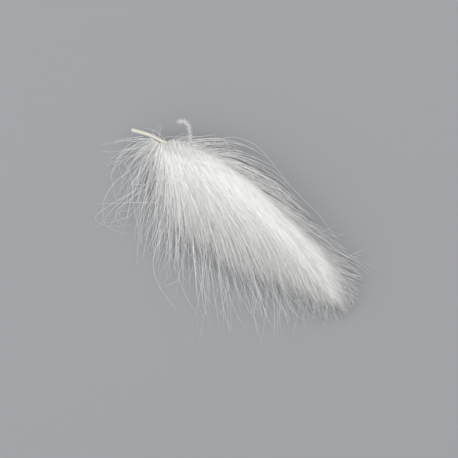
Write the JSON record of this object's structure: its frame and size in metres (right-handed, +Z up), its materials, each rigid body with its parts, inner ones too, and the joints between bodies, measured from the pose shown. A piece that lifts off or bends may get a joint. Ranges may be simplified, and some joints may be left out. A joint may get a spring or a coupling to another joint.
{
  "type": "cul de canard feather",
  "caption": "Loose white down feather lying on a table, its soft barbs spreading from an arched shaft with a bare quill end.",
  "frame": {"origin": "on the flat underside where the down is pressed against the table, under the middle of the down", "axes": "+Z up from the table; +X from the quill's cut end to the feather's tip; +Y to the side of the short vane"},
  "size_m": [0.0486, 0.0312, 0.0088],
  "materials": {
    "down": "matt white down with a silky sheen along the barbs",
    "shaft": "smooth ivory horn, slightly see-through"
  },
  "bodies": {
    "root": {"feather": "down"}
  },
  "joints": []
}
